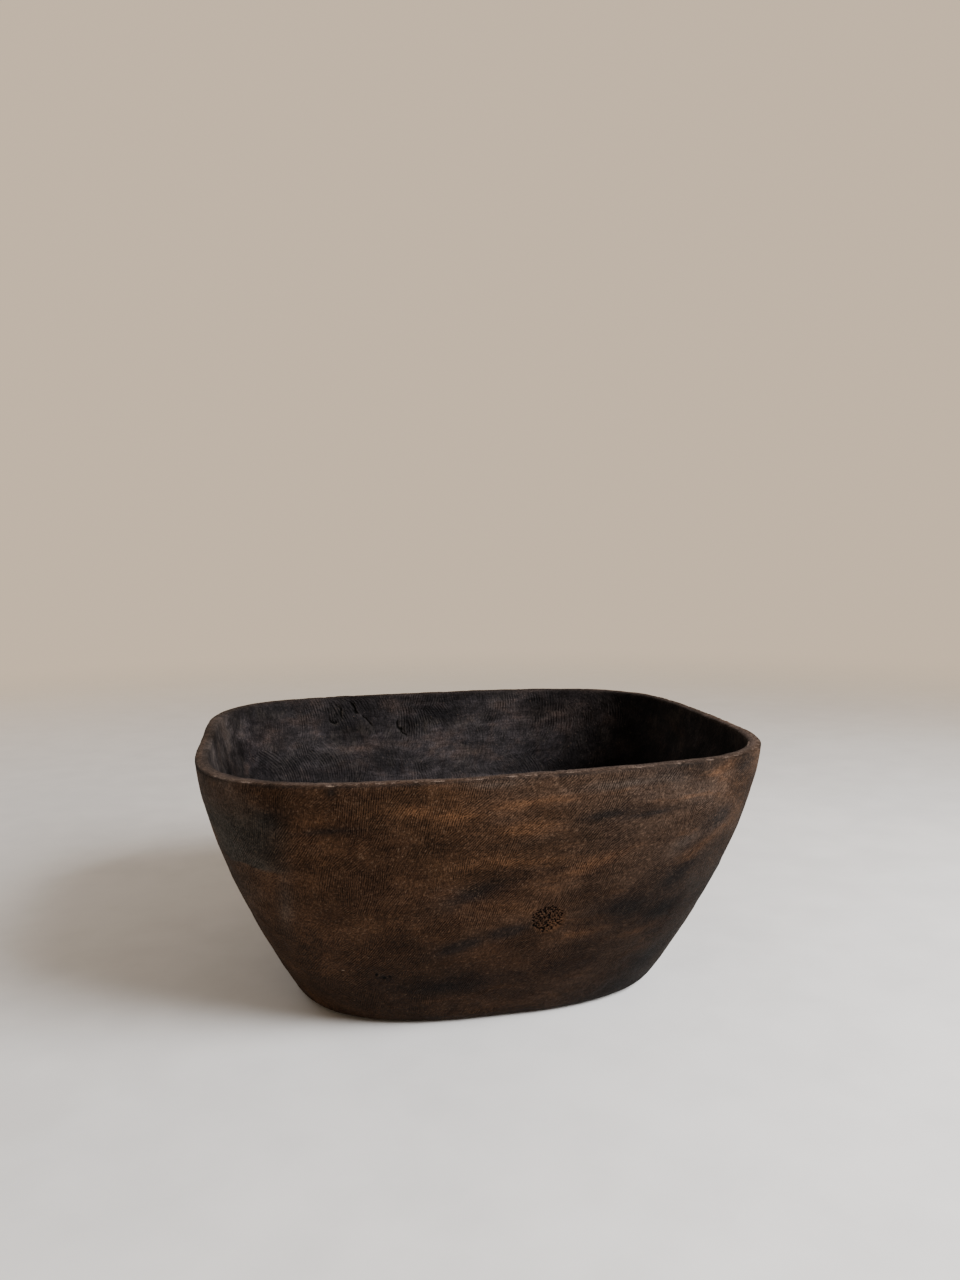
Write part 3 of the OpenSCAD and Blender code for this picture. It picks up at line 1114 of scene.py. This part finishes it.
class Grain:
    # What the finish is mixed from: textures from 0 to 1, tool cuts and the marks on the mesh

    def __init__(self, wire, look):
        self.wire = wire
        self.place = wire.node("ShaderNodeTexCoord", output=3)
        sway = wire.noise(self.place, 7.0, 2) - 0.5
        bent = {"Y": sway * 0.02, "Z": sway * 0.035 + wire.attribute("bentGrain")}
        self.swayed = self.place.vector("ADD", wire.node("ShaderNodeCombineXYZ", {}, bent))
        self.streak = self.stretched(look["streak"], 4, 0.62)
        self.fibre = self.stretched(look["fibre"], 2, 0.6)
        self.broad = self.stretched(look["broad"], 3, 0.55)
        self.blotch = self.stretched(look["blotch"], 4, 0.62)
        self.speck = wire.noise(self.place, look["speck"], 2, 0.6)
        self.pore = wire.noise(self.place, look["pore"], 1, 0.5)
        self.tan, self.stain, self.pale = (wire.attribute(name) for name in ("tan", "stain", "pale"))
        # painted shade: darker towards the foot, the right and the hollow's ends, lighter at the near left
        # corner
        self.paintedShade = 1 - wire.attribute("paintedShade") * look["paintedShadeStrength"]
        self.fibreShade = 1.12 - self.fibre.between(0.46, 0.7) * 0.4
        poreShade, speckShade = self.pore.between(0.28, 0.72) * 0.5, self.speck.between(0.3, 0.7) * 0.4
        self.grit = (poreShade + 0.75) * (speckShade + 0.8)
        wave, self.dash = strokes(wire, self.place, look["outerStroke"])
        wave = wave * 0.46 * wire.noise(self.place, 26.0, 2).between(0.36, 0.6)
        self.groove = (wave + self.dash * 0.5 + self.pore.between(0.35, 0.65) * 0.14).clipped()
        wave, dash = strokes(wire, self.place, look["hollowStroke"])
        wave = wave ** 1.3 * wire.noise(self.place, 17.0, 2).between(0.44, 0.62)
        self.hollowGroove = (wave * 0.56 + dash * 0.54).clipped()

    def stretched(self, scale, layers, roughness):
        # Noise drawn out along the wood's fibres
        return self.wire.noise(self.swayed.vector("MULTIPLY", scale), 1.0, layers, roughness)


def outsideColour(wire, look, grain):
    # Warm brown turning grey-brown, with clouds, tan streaks and stains, painted shade in the tool cuts and
    # painted glints on the flats between them
    share = look["outsideShares"]
    streak, blotch, speck = grain.streak, grain.blotch, grain.speck
    cool = (wire.attribute("cool") + (blotch - 0.5) * 0.9).clipped()
    outer = wire.colour(look["warm"]).mixed(look["cool"], cool)
    outer = outer.mixed(look["tan"], streak.between(0.54, 0.76) * share["streaks"])
    outer = outer.mixed(look["tan"], (grain.tan * (streak * 2.6 - 0.5)).clipped() * share["tan"])
    outer = outer.mixed(look["stain"], (grain.stain * (blotch * 2.0 + 0.1)).clipped() * share["stain"])
    smears = (grain.pale * (blotch + streak * 0.8 - 0.1)).clipped()
    outer = outer.mixed(look["pale"], smears * share["pale"])
    outer = outer.mixed(look["stain"], wire.attribute("underRim") * share["underRim"])
    outer = outer.mixed(look["corner"], wire.attribute("cornerStain") * share["corner"])
    cloud = (grain.broad.between(0.34, 0.66) * 0.55 + 0.72) * (blotch.between(0.36, 0.64) * 0.5 + 0.75)
    # painted shade: darker in the tool cuts' grooves and lighter on the flats between them
    paintedGrooveShade = 1.6 - grain.groove * 1.36
    outer = outer.scaled(grain.paintedShade * cloud * paintedGrooveShade * grain.fibreShade * grain.grit)
    # painted glints: small bright specks on the flats between the cuts
    glints = speck.between(0.57, 0.7) * (1 - grain.groove) ** 1.6
    outer = outer.mixed(look["paintedGlint"], glints * grain.paintedShade * share["paintedGlint"])
    return outer.mixed(look["pit"], grain.pore.between(0.6, 0.7) * share["pores"])


def hollowColour(wire, look, grain):
    # Greyer, with brown patches, painted shade in the ripples, painted highlights on their ridges and painted
    # glints
    share = look["hollowShares"]
    streak, blotch, speck = grain.streak, grain.blotch, grain.speck
    inner = wire.colour(look["hollow"])
    inner = inner.mixed(look["hollowBrown"], blotch.between(0.5, 0.66) * share["clouds"])
    inner = inner.mixed(look["hollowBrown"], (grain.tan * (blotch * 1.6)).clipped() * share["tan"])
    stained = (grain.stain * (blotch * 2.0 - 0.1)).clipped()
    inner = inner.mixed(look["hollowDark"], stained * share["stain"])
    # pale smears, and the painted sheen band on the hollow's left end
    inner = inner.mixed(look["pale"], (grain.pale * (blotch + 0.3)).clipped() * share["pale"])
    inner = inner.mixed(look["hollowBrown"], wire.attribute("ridges").between(0.45, 0.9) * share["ridges"])
    cloud = (grain.broad.between(0.36, 0.64) * 0.85 + 0.54) * (streak.between(0.4, 0.62) * 0.45 + 0.76)
    cloud = cloud * (blotch.between(0.38, 0.62) * 0.8 + 0.6)
    # painted shade: darker in the gouge ripples' grooves and lighter on their ridges
    paintedGrooveShade = 1.52 - grain.hollowGroove * 1.15
    inner = inner.scaled(grain.paintedShade * cloud * paintedGrooveShade * grain.fibreShade * grain.grit)
    raised = (1 - grain.hollowGroove) ** 2.0
    # painted highlights on the ripple ridges, in patches
    highlightPatches = wire.noise(grain.place, 33.0, 3).between(0.5, 0.64)
    inner = inner.mixed(look["pale"], raised * highlightPatches * share["paintedRidgeHighlights"] * grain.paintedShade)
    # painted glints on the ripple ridges
    return inner.mixed(look["paintedGlint"], speck.between(0.63, 0.73) * raised * share["paintedGlint"])


def wornColour(wire, look, grain, colour, rimTop, edge):
    # Adds the rim with painted light, worn edges with a painted highlight, chips, torn grain with a painted
    # highlight on its lips, the knot, and painted shade in the pits, holes and cracks
    share = look["wornShares"]
    streak, blotch, speck, pore = grain.streak, grain.blotch, grain.speck, grain.pore
    rim = wire.colour(look["rim"]).scaled(grain.grit * (1.35 - grain.dash * 0.8) * (blotch * 0.8 + 0.6))
    # the rim, painted paler on the near side as painted light
    colour = colour.mixed(rim, (rimTop * (streak * 1.6 - 0.05)).clipped() * share["rim"])
    # worn edges, with a painted highlight along the near rim's outer edge
    rubbed = (edge * (speck * 1.3 + pore * 0.5 - 0.2)).between(0.25, 0.65)
    colour = colour.mixed(look["worn"], rubbed * share["edges"])
    chipped = (wire.attribute("chips") * (speck * 0.9 + pore * 0.7)).between(0.38, 0.8)
    colour = colour.mixed(look["freshWood"], chipped * share["chips"])
    # the crack lips, on one side only, painted pale: paler torn wood with a painted highlight
    colour = colour.mixed(look["pale"], wire.attribute("lips") * speck.between(0.36, 0.62) * share["lips"])
    colour = colour.mixed(look["tan"], wire.attribute("knot") * (speck.between(0.35, 0.6) * 0.5 + 0.15))
    # painted shade: the pits, holes and cracks painted near black
    return colour.mixed(look["pit"], wire.attribute("holes").between(0.1, 0.42))


def woodRelief(look, grain, within, rimTop):
    # Heights in millimetres
    relief, broad = look["relief"], look["broadRelief"]
    cuts = grain.groove * relief["groove"] * (1 - within)
    cuts = cuts + grain.hollowGroove * relief["hollowGroove"] * within
    fine = cuts + grain.fibre * relief["fibre"] + grain.speck * relief["speck"] + grain.pore * relief["pore"]
    return fine * (1 - rimTop * 0.4) + grain.streak * broad["streak"] + grain.blotch * broad["blotch"]


def makeWood(look):
    material = bpy.data.materials.new("hewn_wood")
    wire = freshWire(material)
    grain = Grain(wire, look)
    within, rimTop, edge = (wire.attribute(name) for name in ("within", "rimTop", "edgeWear"))
    colour = outsideColour(wire, look, grain).mixed(hollowColour(wire, look, grain), within)
    colour = wornColour(wire, look, grain, colour, rimTop, edge)
    rough = look["roughness"] + (grain.blotch - 0.5) * 0.25 + (grain.speck - 0.5) * 0.12
    rough = rough + grain.groove * 0.1 - edge * 0.06
    relief = woodRelief(look, grain, within, rimTop)
    bump = wire.node("ShaderNodeBump", {}, {"Strength": 1.0, "Distance": 0.001, "Height": relief})
    shader = wire.node("ShaderNodeBsdfPrincipled", {}, {
        "Base Color": colour, "Roughness": rough.clipped(), "Normal": bump,
        "IOR": 1.48, "Specular IOR Level": look["shine"],
    })
    wire.node("ShaderNodeOutputMaterial", {}, {"Surface": shader})
    print("wood has", len(wire.tree.nodes), "nodes")
    return material


bowl.data.materials.append(makeWood(woodLook))


# Studio: a pale floor that fades into a pale room, a soft light from the front right and a weak one behind
studio = {
    "floorColour": (0.82, 0.81, 0.8, 1),
    "floorReach": 7.0,  # m
    "floorFade": (0.9, 3.4),
    "room": (0.84, 0.66, 0.48, 1),
    "roomSeen": 0.98,
    "roomLight": 0.42,
    "lightColour": (0.985, 0.99, 1.0),
    "lights": {
        "window_light": {"power": 122, "size": 1.1, "place": (1.42, -1.32, 1.5)},
        "back_light": {"power": 13, "size": 1.6, "place": (-1.55, 1.85, 1.55)},
    },
}


def makeFloor(values):
    mesh = bpy.data.meshes.new("floor")
    count = 96
    turns = np.linspace(0, 2 * math.pi, count, endpoint=False)
    reach = values["floorReach"]
    ring = [(reach * math.cos(t), reach * math.sin(t), bowlLow[2]) for t in turns]
    mesh.from_pydata(ring, [], [tuple(range(count))])
    floor = added("floor", mesh)
    material = bpy.data.materials.new("pale_floor")
    wire = freshWire(material)
    place = wire.node("ShaderNodeTexCoord", output=3)
    far = place.vector("LENGTH", output=1).between(*values["floorFade"])
    cloud = wire.noise(place, 1.7, 4)
    fine = wire.noise(place, 14.0, 4)
    shade = (cloud * 0.6 + fine * 0.4).between(0.35, 0.65) * 0.1 + 0.95
    colour = wire.colour(values["floorColour"]).scaled(shade)
    plaster = wire.node("ShaderNodeBsdfPrincipled", {}, {"Base Color": colour, "Roughness": 0.62})
    clear = wire.node("ShaderNodeBsdfTransparent")
    faded = wire.node("ShaderNodeMixShader", {}, {"Fac": far, "Shader": plaster, "Shader_001": clear})
    wire.node("ShaderNodeOutputMaterial", {}, {"Surface": faded})
    mesh.materials.append(material)


def makeLight(name, light, target, colour):
    data = bpy.data.lights.new(name, "AREA")
    data.size = light["size"]
    data.energy = light["power"]
    data.color = colour
    aim = target - np.array(light["place"])
    side = np.cross(aim, (0, 0, 1))
    side = side / np.linalg.norm(side)
    back = -aim / np.linalg.norm(aim)
    added(name, data).matrix_world = placed(side, np.cross(back, side), back, light["place"])


def makeRoom(values):
    world = bpy.data.worlds.new("room")
    bpy.context.scene.world = world
    wire = freshWire(world)
    seen = wire.node("ShaderNodeLightPath")
    strength = seen * (values["roomSeen"] - values["roomLight"]) + values["roomLight"]
    room = wire.node("ShaderNodeBackground", {}, {"Color": values["room"], "Strength": strength})
    wire.node("ShaderNodeOutputWorld", {}, {"Surface": room})


makeFloor(studio)
makeRoom(studio)
for name, light in studio["lights"].items():
    makeLight(name, light, (bowlLow + bowlHigh) / 2, studio["lightColour"])
print("studio is set")
